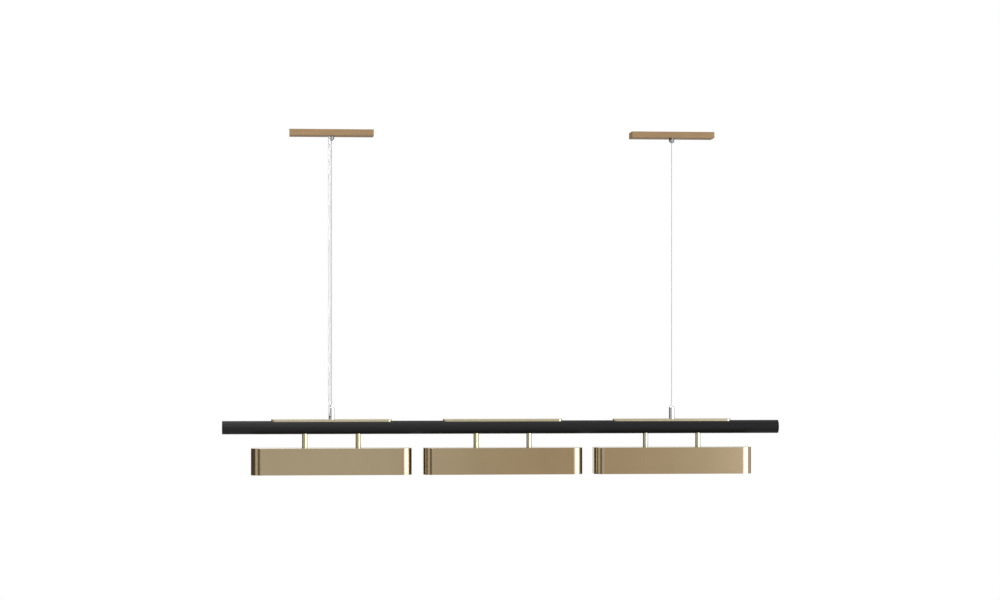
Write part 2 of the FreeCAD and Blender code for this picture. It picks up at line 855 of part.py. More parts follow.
def lampLeads():
    """From each connector through the window of the rod, down the rod and across to the LED board."""
    shapes = []
    for name, centre in lampX.items():
        x = value(f"{centre} + stem_spacing / 2")
        y = value(leadY)
        z = value(tubeZ)
        tray = value(boardZ)
        start = x + value("connector_length / 2 + run_gap - connector_offset")
        points = [
            (start, y + 2, z - 5),
            (x - 0.5, y + 1.5, z - 1),
            (x, 0, z - 1.5),
            (x, 0, tray - 9.5),
            (x + 12, 0, tray - 5.5),
        ]
        shapes.append(tube(name + " lamp lead", points, value("core_dia")))
    return node("lamp_leads", cable("lamp_lead_tubes", *shapes))


# Lamps


def saddlePlate(name):
    """A brass plate with round ends, curved to sit over the top of the tube."""
    x = lampX[name]
    low = f"({tubeZ})"
    tall = "(tube_dia)"
    straight = block("plate_length - plate_width", "plate_width", tall, x, "0", low)
    ends = [
        rod("plate_width", tall, f"{x} {direction} (plate_length - plate_width) / 2", "0", low)
        for direction in ("-", "+")
    ]
    start = f"{x} - plate_length"
    outer = rod("tube_dia + 2 * plate_sheet", "2 * plate_length", start, "0", tubeZ, alongX)
    inner = rod("tube_dia + 2 * seat_gap", "2 * plate_length", start, "0", tubeZ, alongX)
    curved = less(shared(joined(straight, *ends), outer), inner)
    doc.recompute()
    smooth = doc.addObject("Part::Fillet", "smooth")
    smooth.Base = curved
    crown = value("tube_dia / 2 + plate_sheet")
    chosen = []
    for number, edge in enumerate(curved.Shape.Edges, 1):
        middle = edge.CenterOfMass
        away = [math.hypot(spot.Y, spot.Z - value(tubeZ)) for spot in edge.Vertexes]
        isUpper = all(abs(far - crown) < 0.01 for far in away)
        isAlong = edge.BoundBox.XLength > 1e-3 and abs(middle.y) > 1e-3
        if isUpper and isAlong:
            chosen.append((number, value("plate_edge"), value("plate_edge")))
    smooth.Edges = chosen
    tools = []
    for direction in ("-", "+"):
        spot = f"{x} {direction} stem_spacing / 2"
        depth = "(tube_dia / 2 + plate_sheet - plate_skin)"
        tools.append(rod("rod_dia + 2 * seat_gap", depth, spot, "0", tubeZ))
    if name in hangX:
        tools.append(rod("gripper_stud_dia + 2 * run_gap", tall, hangX[name], "0", low))
        tools.append(rod("gripper_dia + 2 * run_gap", tall, hangX[name], "0", seatZ))
    return node(name + "_saddle_plate", less(smooth, *tools))


def stems(name):
    found = []
    for direction in ("-", "+"):
        owner = body(f"{lampX[name]} {direction} stem_spacing / 2", "0", shadeZ)
        ring = circle(sketch(owner, "XY_Plane"), "stem_dia")
        circle(ring, "rod_dia + 2 * seat_gap")
        pad(owner, ring, "stem_length + tube_dia / 4")
        doc.recompute()
        level = "stem_length + tube_dia / 2"
        cope = circle(sketch(owner, "YZ_Plane"), "tube_dia + 2 * seat_gap", "0", level)
        pocket(owner, cope, "2 * stem_dia", both=True)
        found.append(owner)
    return node(name + "_stems", group(*found))


def threadedRods(name):
    """Hollow rods that clamp plate, tube, stem, shade and tray together."""
    found = []
    for direction in ("-", "+"):
        x = f"{lampX[name]} {direction} stem_spacing / 2"
        top = f"({tubeZ} + tube_dia / 2 + plate_sheet - plate_skin - seat_gap)"
        low = f"({boardZ} - rod_nut_height - rod_end)"
        outer = rod("rod_dia", f"{top} - {low}", x, "0", low)
        inner = rod("rod_bore", f"{top} - {low} + 2", x, "0", f"{low} - 1")
        window = rod("rod_window", "2 * rod_dia", x, "-rod_dia", tubeZ, alongY)
        found.append(less(outer, inner, window))
    return node(name + "_threaded_rods", group(*found))


def rodNuts(name):
    found = []
    for direction in ("-", "+"):
        x = f"{lampX[name]} {direction} stem_spacing / 2"
        low = f"({boardZ} - rod_nut_height)"
        blank = hexagon("rod_nut_flats", "rod_nut_height", x, "0", low)
        hole = rod("rod_dia + 2 * seat_gap", "rod_nut_height + 2", x, "0", f"{low} - 1")
        found.append(less(blank, hole))
    return node(name + "_rod_nuts", group(*found))


def rodHoles(owner, dia, length):
    holes = sketch(owner, "XY_Plane")
    for direction in ("-", ""):
        circle(holes, dia, f"{direction}stem_spacing / 2")
    return pocket(owner, holes, length, both=True)


def shade(name):
    """A wide shade, open below, with rounded upright corners and sharp top and bottom rims."""
    owner = body(lampX[name], "0", f"{shadeZ} - shade_height")
    pad(owner, rectangle(sketch(owner, "XY_Plane"), "shade_length", "shade_depth"), "shade_height")
    dressed(owner, "Fillet", uprightEdges, Radius="shade_corner")
    dressed(owner, "Thickness", faceAt("0"), Value="shade_wall").Reversed = True
    dressed(owner, "Fillet", edgesAt("shade_height"), Radius="shade_edge")
    doc.recompute()
    rodHoles(owner, "rod_dia + 2 * seat_gap", "2 * shade_height + 2")
    return node(name + "_shade", owner)


def ledTray(name):
    owner = body(lampX[name], "0", trayZ)
    half = "(tray_width / 2)"
    wall = f"({half} - tray_flange)"
    drop = "(-tray_sheet - tray_height)"
    profile = [
        (f"-{half}", "-seat_gap"),
        (f"-{half}", drop),
        (f"-{wall}", drop),
        (f"-{wall}", "-tray_sheet"),
        (wall, "-tray_sheet"),
        (wall, drop),
        (half, drop),
        (half, "-seat_gap"),
    ]
    pad(owner, outline(sketch(owner, "YZ_Plane"), profile), "tray_length", both=True)
    rodHoles(owner, "rod_dia + 2 * seat_gap", "4 * tray_sheet")
    return node(name + "_led_tray", owner)


def ledBoard(name):
    owner = body(lampX[name], "0", boardZ)
    plan = rectangle(sketch(owner, "XY_Plane", "-seat_gap"), "board_length", "board_width")
    pad(owner, plan, "board_sheet", downwards=True)
    rodHoles(owner, "rod_nut_flats * 1.3", "4 * board_sheet")
    plug = sketch(owner, "XY_Plane", "-board_sheet")
    rectangle(plug, "plug_size", "plug_size", "stem_spacing / 2 + plug_offset")
    pad(owner, plug, "plug_height", downwards=True)
    start = f"-chip_step * ({chipCount} - 1) / 2"
    for side in ("-", ""):
        chip = sketch(owner, "XY_Plane", "-board_sheet")
        rectangle(chip, "chip_size", "chip_size", start, f"{side}chip_rows / 2")
        first = pad(owner, chip, "chip_height", downwards=True)
        row(owner, first, chip, "H_Axis", f"chip_step * ({chipCount} - 1)", chipCount)
    return node(name + "_led_board", owner)


def diffuser(name):
    """An opal pan, pushed up into the shade."""
    owner = body(lampX[name], "0", f"{shadeZ} - shade_height + diffuser_recess")
    away = "2 * (shade_wall + run_gap)"
    plan = rectangle(sketch(owner, "XY_Plane"), f"shade_length - {away}", f"shade_depth - {away}")
    pad(owner, plan, "diffuser_height")
    dressed(owner, "Fillet", uprightEdges, Radius="shade_corner - shade_wall - run_gap")
    dressed(owner, "Thickness", faceAt("diffuser_height"), Value="diffuser_wall").Reversed = True
    return node(name + "_diffuser", owner)


def diffuserClips(name):
    """Bent spring clips between the tray's flanges and the wall of the diffuser."""
    found = []
    top = f"({boardZ} - tray_height + clip_height + seat_gap)"
    reach = "(shade_depth / 2 - shade_wall - run_gap - diffuser_wall - tray_width / 2 - seat_gap)"
    for x in ("-", "+"):
        for y in ("-", "+"):
            owner = body(f"{lampX[name]} {x} clip_spacing / 2", "0", top)
            base = f"0 {y} tray_width / 2"
            points = [
                (base, "0"),
                (f"{base} {y} clip_sheet", "0"),
                (f"{base} {y} {reach}", "-clip_height / 2"),
                (f"{base} {y} clip_sheet", "-clip_height"),
                (base, "-clip_height"),
            ]
            pad(owner, outline(sketch(owner, "YZ_Plane"), points), "clip_length", both=True)
            found.append(owner)
    return node(name + "_diffuser_clips", group(*found))


def ceilingSide():
    for side in hangX:
        canopyCover(side)
        ceilingBracket(side)
        wireHolder(side)
    holderNuts()
    canopyScrews()
    cordBush()
    canopyElectrics()
    canopyLeads()


def suspension():
    wirePins()
    powerCord()
    for side in hangX:
        wire(side)
        gripperBody(side)
        gripperPlunger(side)
        gripperBalls(side)
        gripperSpring(side)
    gripperHardware()


def bar():
    mainTube()
    endCaps()
    tubeLead()
    leadConnectors()
    lampLeads()


def lamps():
    for name in lampX:
        saddlePlate(name)
        stems(name)
        threadedRods(name)
        rodNuts(name)
        shade(name)
        ledTray(name)
        ledBoard(name)
        diffuser(name)
        diffuserClips(name)


def check():
    """Stops if any object failed, or a piece is empty, broken or not closed."""
    for item in doc.Objects:
        if {"Invalid", "Error"} & set(item.State):
            raise RuntimeError(f"{item.Name} ({item.Label}) failed: {item.State}")
    for item in nodes:
        shape = item.Shape
        if shape.isNull() or not shape.isValid() or not shape.Solids:
            raise RuntimeError(f"{item.Label} has no valid solid")


def export():
    os.makedirs("parts", exist_ok=True)
    for item in nodes:
        item.Shape.exportStep(f"parts/{item.Label}.step")
    print(len(nodes), "nodes")


ceilingSide()
suspension()
bar()
lamps()
doc.recompute()
check()
export()
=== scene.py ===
import bpy
import math
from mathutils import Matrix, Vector


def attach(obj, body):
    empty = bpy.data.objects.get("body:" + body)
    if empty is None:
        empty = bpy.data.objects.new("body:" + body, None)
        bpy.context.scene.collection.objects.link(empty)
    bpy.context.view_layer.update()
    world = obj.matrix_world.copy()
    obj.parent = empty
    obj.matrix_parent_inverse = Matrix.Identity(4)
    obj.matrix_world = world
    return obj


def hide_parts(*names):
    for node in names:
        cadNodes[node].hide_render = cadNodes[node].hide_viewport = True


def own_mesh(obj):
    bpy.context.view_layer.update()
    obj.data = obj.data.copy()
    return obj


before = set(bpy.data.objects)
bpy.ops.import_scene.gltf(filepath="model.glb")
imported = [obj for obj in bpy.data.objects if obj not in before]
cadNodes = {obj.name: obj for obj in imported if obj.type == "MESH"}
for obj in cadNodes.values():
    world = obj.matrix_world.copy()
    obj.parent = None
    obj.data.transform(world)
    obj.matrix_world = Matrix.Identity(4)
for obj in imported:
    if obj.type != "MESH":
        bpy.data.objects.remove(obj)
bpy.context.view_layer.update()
lampPlaces = {"left": -0.45, "middle": 0.0, "right": 0.45}  # x of the lamps and their saddle plates
sides = {"left": -0.45, "right": 0.45}  # x of the canopies, wires and grippers
print("frame loaded,", len(cadNodes), "CAD pieces")


# Materials

grain = {
    "detail": 3.0,
    "toneBand": (0.35, 0.65),  # the part of the noise over which a tone changes
    "metalDepth": 0.0002,
    "skinDepth": 0.0001,
}


def newMaterial(name):
    material = bpy.data.materials.new(name)
    material.use_nodes = True
    tree = material.node_tree
    return material, tree, tree.nodes["Principled BSDF"]


def addNode(tree, kind, **settings):
    item = tree.nodes.new(kind)
    for key, setting in settings.items():
        setattr(item, key, setting)
    return item


# A sum, product or the like of two entries, each a number or another node's output
def computed(tree, operation, first, second=0.0, **settings):
    item = addNode(tree, "ShaderNodeMath", operation=operation, **settings)
    for place, entry in enumerate((first, second)):
        if isinstance(entry, (int, float)):
            item.inputs[place].default_value = entry
        else:
            tree.links.new(entry, item.inputs[place])
    return item.outputs["Value"]


# Noise on the piece's own metres, stretched along its grain
def grainNoise(tree, stretch):
    coordinates = addNode(tree, "ShaderNodeTexCoord")
    mapping = addNode(tree, "ShaderNodeMapping")
    mapping.inputs["Scale"].default_value = stretch
    noise = addNode(tree, "ShaderNodeTexNoise")
    noise.inputs["Scale"].default_value = 1.0  # the stretch alone sets the size
    noise.inputs["Detail"].default_value = grain["detail"]
    tree.links.new(coordinates.outputs["Object"], mapping.inputs["Vector"])
    tree.links.new(mapping.outputs["Vector"], noise.inputs["Vector"])
    return noise.outputs["Fac"]


# Turns the values of a span into values from low to high
def ranged(tree, source, low, high, span=(0.0, 1.0), **settings):
    item = addNode(tree, "ShaderNodeMapRange", **settings)
    item.inputs["From Min"].default_value, item.inputs["From Max"].default_value = span
    item.inputs["To Min"].default_value = low
    item.inputs["To Max"].default_value = high
    tree.links.new(source, item.inputs["Value"])
    return item.outputs["Result"]


def tinted(tree, source, first, second):
    ramp = addNode(tree, "ShaderNodeValToRGB")
    for element, place, tone in zip(ramp.color_ramp.elements, grain["toneBand"], (first, second)):
        element.position = place
        element.color = (*tone, 1)
    tree.links.new(source, ramp.inputs["Fac"])
    return ramp.outputs["Color"]


def roughened(tree, shader, source, strength, depth):
    bump = addNode(tree, "ShaderNodeBump")
    bump.inputs["Strength"].default_value = strength
    bump.inputs["Distance"].default_value = depth
    tree.links.new(source, bump.inputs["Height"])
    tree.links.new(bump.outputs["Normal"], shader.inputs["Normal"])


# Tone, roughness and surface that vary a little along the grain, or along hairlines where there are any
def grained(tree, shader, look, depth):
    noise = grainNoise(tree, look["grain"])
    tone = look["colour"]
    darker = [part * (1 - look["toneSpread"]) for part in tone]
    tree.links.new(tinted(tree, noise, darker, tone), shader.inputs["Base Color"])
    if "hairlines" in look:
        noise = grainNoise(tree, look["hairlines"])
    tree.links.new(ranged(tree, noise, *look["roughness"]), shader.inputs["Roughness"])
    roughened(tree, shader, noise, look["bump"], depth)


# What holds where a look doesn't name it
plainMetal = {"lacquer": 0.0, "lacquerRoughness": 0.1, "rimTone": (1, 1, 1)}
plainCoating = {
    "toneSpread": 0.06,
    "grain": (900, 900, 900),
    "bump": 0.08,
    "clear": 0.0,
    "milky": 0.0,
    "milkyDepth": 0.0015,
    "milkyTone": (1.0, 0.9, 0.8),
    "ior": 1.48,
    "shine": 0.5,
}


# A bare or lacquered metal with a fine grain
def metal(name, ownLook):
    look = {**plainMetal, **ownLook}
    material, tree, shader = newMaterial(name)
    grained(tree, shader, look, grain["metalDepth"])
    shader.inputs["Metallic"].default_value = 1.0
    shader.inputs["Coat Weight"].default_value = look["lacquer"]
    shader.inputs["Coat Roughness"].default_value = look["lacquerRoughness"]
    shader.inputs["Specular Tint"].default_value = (*look["rimTone"], 1)
    return material


# Paint, plastic, insulation or acrylic with a fine skin
def coating(name, ownLook):
    look = {**plainCoating, **ownLook}
    material, tree, shader = newMaterial(name)
    grained(tree, shader, look, grain["skinDepth"])
    shader.inputs["Transmission Weight"].default_value = look["clear"]
    shader.inputs["Subsurface Weight"].default_value = look["milky"]
    shader.inputs["Subsurface Radius"].default_value = look["milkyTone"]
    shader.inputs["Subsurface Scale"].default_value = look["milkyDepth"]
    shader.inputs["IOR"].default_value = look["ior"]
    shader.inputs["Specular IOR Level"].default_value = look["shine"]
    return material


metalLooks = {
    "champagneBrass": {
        "colour": (0.385, 0.308, 0.190),
        "toneSpread": 0.06,
        "roughness": (0.16, 0.21),
        "grain": (11, 11, 5),
        "hairlines": (5, 5, 1100),
        "lacquer": 0.25,
        "lacquerRoughness": 0.08,
        "bump": 0.01,
    },
    "canopyBrass": {
        "colour": (0.355, 0.238, 0.132),
        "toneSpread": 0.06,
        "roughness": (0.26, 0.34),
        "grain": (18, 18, 60),
        "rimTone": (0.42, 0.35, 0.28),
        "bump": 0.01,
    },
    "plateBrass": {
        "colour": (0.475, 0.435, 0.300),
        "toneSpread": 0.06,
        "roughness": (0.20, 0.28),
        "grain": (6, 500, 500),
        "bump": 0.02,
    },
    "stemBrass": {
        "colour": (0.52, 0.48, 0.31),
        "toneSpread": 0.05,
        "roughness": (0.14, 0.20),
        "grain": (300, 300, 30),
        "bump": 0.02,
    },
    "brightNickel": {
        "colour": (0.60, 0.61, 0.62),
        "toneSpread": 0.04,
        "roughness": (0.08, 0.14),
        "grain": (700, 700, 60),
        "bump": 0.02,
    },
    "holderNickel": {
        "colour": (0.40, 0.41, 0.42),
        "toneSpread": 0.05,
        "roughness": (0.16, 0.24),
        "grain": (60, 60, 900),
        "bump": 0.03,
    },
    "ropeSteel": {
        # darker than bare steel: the steel's own grey, plus painted shade for the valleys between the strands
        "colour": (0.36, 0.365, 0.37),
        "toneSpread": 0.12,
        "roughness": (0.42, 0.52),
        "grain": (1500, 1500, 420),
        "bump": 0.12,
    },
    "zincSteel": {
        "colour": (0.60, 0.61, 0.62),
        "toneSpread": 0.15,
        "roughness": (0.30, 0.48),
        "grain": (90, 90, 90),
        "bump": 0.06,
    },
    "springSteel": {
        "colour": (0.38, 0.38, 0.39),
        "toneSpread": 0.12,
        "roughness": (0.25, 0.36),
        "grain": (300, 40, 300),
        "bump": 0.06,
    },
    "screwSteel": {
        "colour": (0.48, 0.42, 0.30),
        "toneSpread": 0.12,
        "roughness": (0.25, 0.36),
        "grain": (900, 200, 200),
        "bump": 0.08,
    },
    "trayAluminium": {
        "colour": (0.78, 0.79, 0.80),
        "toneSpread": 0.06,
        "roughness": (0.30, 0.42),
        "grain": (5, 900, 900),
        "bump": 0.06,
    },
}

coatingLooks = {
    "satinBlack": {"colour": (0.016, 0.016, 0.017), "roughness": (0.36, 0.44), "shine": 0.1, "bump": 0.06},
    "satinBlackCap": {"colour": (0.012, 0.012, 0.013), "roughness": (0.34, 0.42), "shine": 0.1, "bump": 0.06},
    "clearCord": {
        "colour": (0.97, 0.972, 0.975),
        "roughness": (0.05, 0.10),
        "grain": (500, 500, 60),
        "clear": 0.95,
        "ior": 1.42,
        "bump": 0.04,
    },
    "greyPlastic": {"colour": (0.42, 0.43, 0.43), "roughness": (0.42, 0.52)},
    "whitePlastic": {"colour": (0.80, 0.80, 0.78), "roughness": (0.38, 0.48)},
    "coreInsulation": {"colour": (0.85, 0.85, 0.84), "roughness": (0.28, 0.36)},
    "opalAcrylic": {
        "colour": (0.90, 0.89, 0.86),
        "roughness": (0.30, 0.38),
        "milky": 0.35,
        "toneSpread": 0.02,
        "bump": 0.03,
    },
}

finishes = {name: metal(name, look) for name, look in metalLooks.items()}
finishes.update({name: coating(name, look) for name, look in coatingLooks.items()})

boardLook = {
    "step": 0.032,  # from LED to LED
    "first": -0.176,  # x of the first LED, from the lamp's middle
    "rowY": 0.015,  # y of the two rows, one on each side
    "half": 0.0016,  # half an LED's width
    "mask": (0.86, 0.86, 0.83),
    "led": (0.86, 0.62, 0.10),
    "roughness": (0.35, 0.5),
    "grain": (300, 300, 300),
    "bump": 0.05,
}


# White solder mask, and yellow where the rows of LEDs stand on the board
def boardFinish(name, centre):
    material, tree, shader = newMaterial(name + "Board")
    coordinates = addNode(tree, "ShaderNodeTexCoord")
    split = addNode(tree, "ShaderNodeSeparateXYZ")
    tree.links.new(coordinates.outputs["Object"], split.inputs["Vector"])

    halfStep = boardLook["step"] / 2
    start = computed(tree, "SUBTRACT", split.outputs["X"], centre + boardLook["first"] - halfStep)
    inStep = computed(tree, "MODULO", start, boardLook["step"])
    along = computed(tree, "ABSOLUTE", computed(tree, "SUBTRACT", inStep, halfStep))
    fromMiddle = computed(tree, "ABSOLUTE", split.outputs["Y"])
    across = computed(tree, "ABSOLUTE", computed(tree, "SUBTRACT", fromMiddle, boardLook["rowY"]))
    inX = computed(tree, "LESS_THAN", along, boardLook["half"])
    inY = computed(tree, "LESS_THAN", across, boardLook["half"])

    colour = addNode(tree, "ShaderNodeMix", data_type="RGBA")
    tree.links.new(computed(tree, "MULTIPLY", inX, inY), colour.inputs["Factor"])
    colour.inputs["A"].default_value = (*boardLook["mask"], 1)
    colour.inputs["B"].default_value = (*boardLook["led"], 1)
    tree.links.new(colour.outputs["Result"], shader.inputs["Base Color"])
    noise = grainNoise(tree, boardLook["grain"])
    tree.links.new(ranged(tree, noise, *boardLook["roughness"]), shader.inputs["Roughness"])
    roughened(tree, shader, noise, boardLook["bump"], grain["skinDepth"])
    return material


def wears(piece, material):
    piece.data.materials.clear()
    piece.data.materials.append(material)


cadFinishes = {
    "champagneBrass": [lamp + "_shade" for lamp in lampPlaces],
    "canopyBrass": [side + "_canopy_cover" for side in sides],
    "plateBrass": [lamp + "_saddle_plate" for lamp in lampPlaces],
    "stemBrass": [lamp + "_stems" for lamp in lampPlaces],
    "satinBlack": ["tube"],
    "satinBlackCap": ["end_caps"],
    "brightNickel": ["wire_pins"]
    + [f"{side}_gripper_{piece}" for side in sides for piece in ("body", "plunger", "balls")],
    "holderNickel": [side + "_wire_holder" for side in sides],
    "zincSteel": ["holder_nuts", "gripper_studs", "gripper_seats", "gripper_nuts"]
    + [side + "_ceiling_bracket" for side in sides]
    + [lamp + piece for lamp in lampPlaces for piece in ("_threaded_rods", "_rod_nuts")],
    "springSteel": [lamp + "_diffuser_clips" for lamp in lampPlaces],
    "greyPlastic": ["cord_bush", "terminal_block", "lead_connectors"],
    "whitePlastic": ["led_driver"],
    "coreInsulation": ["canopy_leads", "tube_lead", "lamp_leads"],
    "trayAluminium": [lamp + "_led_tray" for lamp in lampPlaces],
    "opalAcrylic": [lamp + "_diffuser" for lamp in lampPlaces],
}
for finish, names in cadFinishes.items():
    for name in names:
        wears(cadNodes[name], finishes[finish])
for name, centre in lampPlaces.items():
    wears(cadNodes[name + "_led_board"], boardFinish(name, centre))
print("finishes on", sum(len(names) for names in cadFinishes.values()) + len(lampPlaces), "CAD pieces")


# Steps that several pieces share

weldReach = 0.000001  # corners nearer than this become one


def deselectAll():
    if bpy.context.object and bpy.context.object.mode != "OBJECT":
        bpy.ops.object.mode_set(mode="OBJECT")
    bpy.ops.object.select_all(action="DESELECT")


def selectOnly(piece):
    deselectAll()
    piece.select_set(True)
    bpy.context.view_layer.objects.active = piece


# Puts a piece's place, turn and scale into its mesh
def settled(piece):
    selectOnly(piece)
    bpy.ops.object.transform_apply(location=True, rotation=True, scale=True)


# Smooth, apart from edges that bend by more than sharpFrom degrees
def smoothed(piece, sharpFrom):
    selectOnly(piece)
    bpy.ops.object.shade_smooth_by_angle(angle=math.radians(sharpFrom))


# Winds a profile about Z while it moves by rise along Z, and closes its ends
def wound(piece, turns, rise, steps):
    selectOnly(piece)
    winding = piece.modifiers.new("winding", "SCREW")
    winding.axis = "Z"
    winding.angle = math.tau * turns
    winding.screw_offset = rise
    winding.steps = steps
    winding.render_steps = steps
    bpy.ops.object.modifier_apply(modifier=winding.name)
    bpy.ops.object.mode_set(mode="EDIT")
    bpy.ops.mesh.select_all(action="SELECT")
    bpy.ops.mesh.remove_doubles(threshold=weldReach)
    bpy.ops.mesh.fill_holes(sides=0)
    bpy.ops.mesh.select_all(action="SELECT")
    bpy.ops.mesh.normals_make_consistent(inside=False)
    bpy.ops.object.mode_set(mode="OBJECT")


# A copy with its own mesh, turned about Z and moved, with its place in its mesh
def placedCopy(piece, name, place, turn=0.0):
    copied = piece.copy()
    copied.data = piece.data.copy()
    copied.name = name
    bpy.context.scene.collection.objects.link(copied)
    copied.location = place
    copied.rotation_euler = (0, 0, turn)
    settled(copied)
    return copied


# Several pieces made one, under a new name
def joined(pieces, name):
    selectOnly(pieces[0])
    for piece in pieces[1:]:
        piece.select_set(True)
    bpy.ops.object.join()
    pieces[0].name = name
    return pieces[0]


# Suspension wires

wireLook = {
    "radius": 0.00075,
    "strands": 6,
    # share of a strand's arc, share of the radius
    "lobe": [(0.0, 1.0), (0.32, 0.88), (0.5, 0.70), (0.68, 0.88)],
    "lay": 0.011,  # height of one turn
    "ringsPerTurn": 12,
    "top": -0.02065,
    "end": -0.7779,
    "sharpFrom": 50,
}
wireDrop = wireLook["top"] - wireLook["end"]


# A six-strand wire rope that hangs straight down from the origin
def strandedWire():
    strand = math.tau / wireLook["strands"]
    profile = [
        ((number + share) * strand, wireLook["radius"] * reach)
        for number in range(wireLook["strands"])
        for share, reach in wireLook["lobe"]
    ]
    deselectAll()
    bpy.ops.mesh.primitive_circle_add(vertices=len(profile), radius=wireLook["radius"], location=(0, 0, 0))
    wire = bpy.context.object
    for corner, (angle, radius) in zip(wire.data.vertices, profile):
        corner.co = (radius * math.cos(angle), radius * math.sin(angle), 0)
    turns = wireDrop / wireLook["lay"]
    wound(wire, turns, -wireDrop, round(turns * wireLook["ringsPerTurn"]))
    smoothed(wire, wireLook["sharpFrom"])
    wears(wire, finishes["ropeSteel"])
    return wire


firstWire = strandedWire()
for side, x in sides.items():
    wire = placedCopy(firstWire, side + "Wire", (x, 0, wireLook["top"]))
    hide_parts(side + "_wire")
    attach(wire, "hangers")
    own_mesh(wire)
bpy.data.objects.remove(firstWire, do_unlink=True)
print("suspension wires, each", round(wireDrop, 3), "m")


# Power cord and its cores

curveLook = {"order": 3, "stepsPerPoint": 10, "rounding": 5, "sharpFrom": 40}


# A round mesh cord along the smooth line that given points draw, and the points of that line
def roundCord(name, points, diameter, finish):
    curve = bpy.data.curves.new(name, "CURVE")
    curve.dimensions = "3D"
    curve.resolution_u = curveLook["stepsPerPoint"]
    curve.use_fill_caps = True
    spline = curve.splines.new("NURBS")
    spline.points.add(len(points) - 1)
    for place, point in zip(spline.points, points):
        place.co = (*point, 1)
    spline.order_u = curveLook["order"]
    spline.use_endpoint_u = True
    cord = bpy.data.objects.new(name, curve)
    bpy.context.scene.collection.objects.link(cord)
    bpy.context.view_layer.update()
    line = cord.evaluated_get(bpy.context.evaluated_depsgraph_get()).to_mesh()
    path = [tuple(vertex.co) for vertex in line.vertices]
    curve.bevel_depth = diameter / 2
    curve.bevel_resolution = curveLook["rounding"]
    selectOnly(cord)
    bpy.ops.object.convert(target="MESH")
    cord = bpy.context.object
    smoothed(cord, curveLook["sharpFrom"])
    wears(cord, finish)
    return cord, path


def lengthOf(path):
    return sum((Vector(b) - Vector(a)).length for a, b in zip(path, path[1:]))


cordLook = {
    "diameter": 0.006,
    "route": [
        (-0.4559, -0.0098, -0.0148),
        (-0.4559, -0.0098, -0.1500),
        (-0.4559, -0.0098, -0.3000),
        (-0.4559, -0.0098, -0.4500),
        (-0.4559, -0.0098, -0.6000),
        (-0.4559, -0.0098, -0.6900),
        (-0.4559, -0.0098, -0.7300),
        (-0.4559, -0.0098, -0.7370),
        (-0.4559, -0.0098, -0.7424),
        (-0.4548, -0.0080, -0.7445),
        (-0.45366, -0.00608, -0.7467),
    ],
}
powerCord, cordPath = roundCord("powerCord", cordLook["route"], cordLook["diameter"], finishes["clearCord"])
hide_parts("power_cord")
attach(powerCord, "hangers")
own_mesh(powerCord)

coreLook = {
    "diameter": 0.0018,
    "offset": 0.00105,  # from the cord's middle
    "turn": math.radians(12),  # of the pair about the cord's line
}


# One of the two cores that show through the cord, side by side along its line
def cordCore(number):
    angle = coreLook["turn"] + math.pi * number
    points = []
    for place, point in enumerate(cordPath):
        before = cordPath[max(place - 1, 0)]
        after = cordPath[min(place + 1, len(cordPath) - 1)]
        along = (Vector(after) - Vector(before)).normalized()
        across = (Vector((1, 0, 0)) - along * along.x).normalized()
        offset = across * math.cos(angle) + along.cross(across) * math.sin(angle)
        points.append(tuple(Vector(point) + offset * coreLook["offset"]))
    return roundCord(f"cordCore{number}", points, coreLook["diameter"], finishes["coreInsulation"])[0]


cordCores = joined([cordCore(number) for number in range(2)], "cordCores")
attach(cordCores, "hangers")
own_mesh(cordCores)
print("power cord", round(lengthOf(cordPath), 4), "m")


# Set screws in the narrow ends of the canopies

screwLook = {
    "diameter": 0.004,
    "length": 0.006,
    "facets": 32,
    "chamfer": 0.0004,
    "chamferFrom": 60,  # only edges that bend by more degrees than this
    "socket": 0.0023,  # across its flats
    "socketDepth": 0.0022,
    "reach": 0.110,  # from the canopy's middle to the screw's outer end
    "level": -0.008,
    "sharpFrom": 35,
}
alongX = (0, math.radians(90), 0)  # turns what stands along Z


# A plain set screw along X with chamfered ends, the outer one at X = 0 with a six-sided socket
def socketScrew():
    deselectAll()
    bpy.ops.mesh.primitive_cylinder_add(
        vertices=screwLook["facets"],
        radius=screwLook["diameter"] / 2,
        depth=screwLook["length"],
        location=(-screwLook["length"] / 2, 0, 0),
        rotation=alongX,
    )
    screw = bpy.context.object
    settled(screw)
    bevel = screw.modifiers.new("chamfer", "BEVEL")
    bevel.width = screwLook["chamfer"]
    bevel.segments = 1
    bevel.angle_limit = math.radians(screwLook["chamferFrom"])
    bpy.ops.object.modifier_apply(modifier=bevel.name)
    deselectAll()
    bpy.ops.mesh.primitive_cylinder_add(
        vertices=6,
        radius=screwLook["socket"] / 2 / math.cos(math.pi / 6),
        depth=screwLook["socketDepth"] * 2,
        location=(0, 0, 0),
        rotation=alongX,
    )
    socket = bpy.context.object
    cut = screw.modifiers.new("socket", "BOOLEAN")
    cut.operation = "DIFFERENCE"
    cut.object = socket
    cut.solver = "EXACT"
    selectOnly(screw)
    bpy.ops.object.modifier_apply(modifier=cut.name)
    bpy.data.objects.remove(socket, do_unlink=True)
    smoothed(screw, screwLook["sharpFrom"])
    wears(screw, finishes["screwSteel"])
    return screw


firstScrew = socketScrew()
screws = [
    placedCopy(
        firstScrew,
        f"{side}Screw{number}",
        (x + direction * screwLook["reach"], 0, screwLook["level"]),
        0.0 if direction > 0 else math.pi,
    )
    for side, x in sides.items()
    for number, direction in enumerate((-1, 1), 1)
]
bpy.data.objects.remove(firstScrew, do_unlink=True)
canopyScrews = joined(screws, "canopyScrews")
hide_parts("canopy_screws")
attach(canopyScrews, "ceiling")
print("canopy set screws")


# Coil springs under the plungers

springLook = {
    "wire": 0.0005,
    "facets": 12,
    "meanRadius": 0.00345,
    "turns": 3,
    "ringsPerTurn": 40,
    "bottom": -0.74235,
    "top": -0.73745,
    "press": 0.0025,  # how far the plunger goes down
    "sharpFrom": 40,
}
springDrop = springLook["top"] - springLook["bottom"]


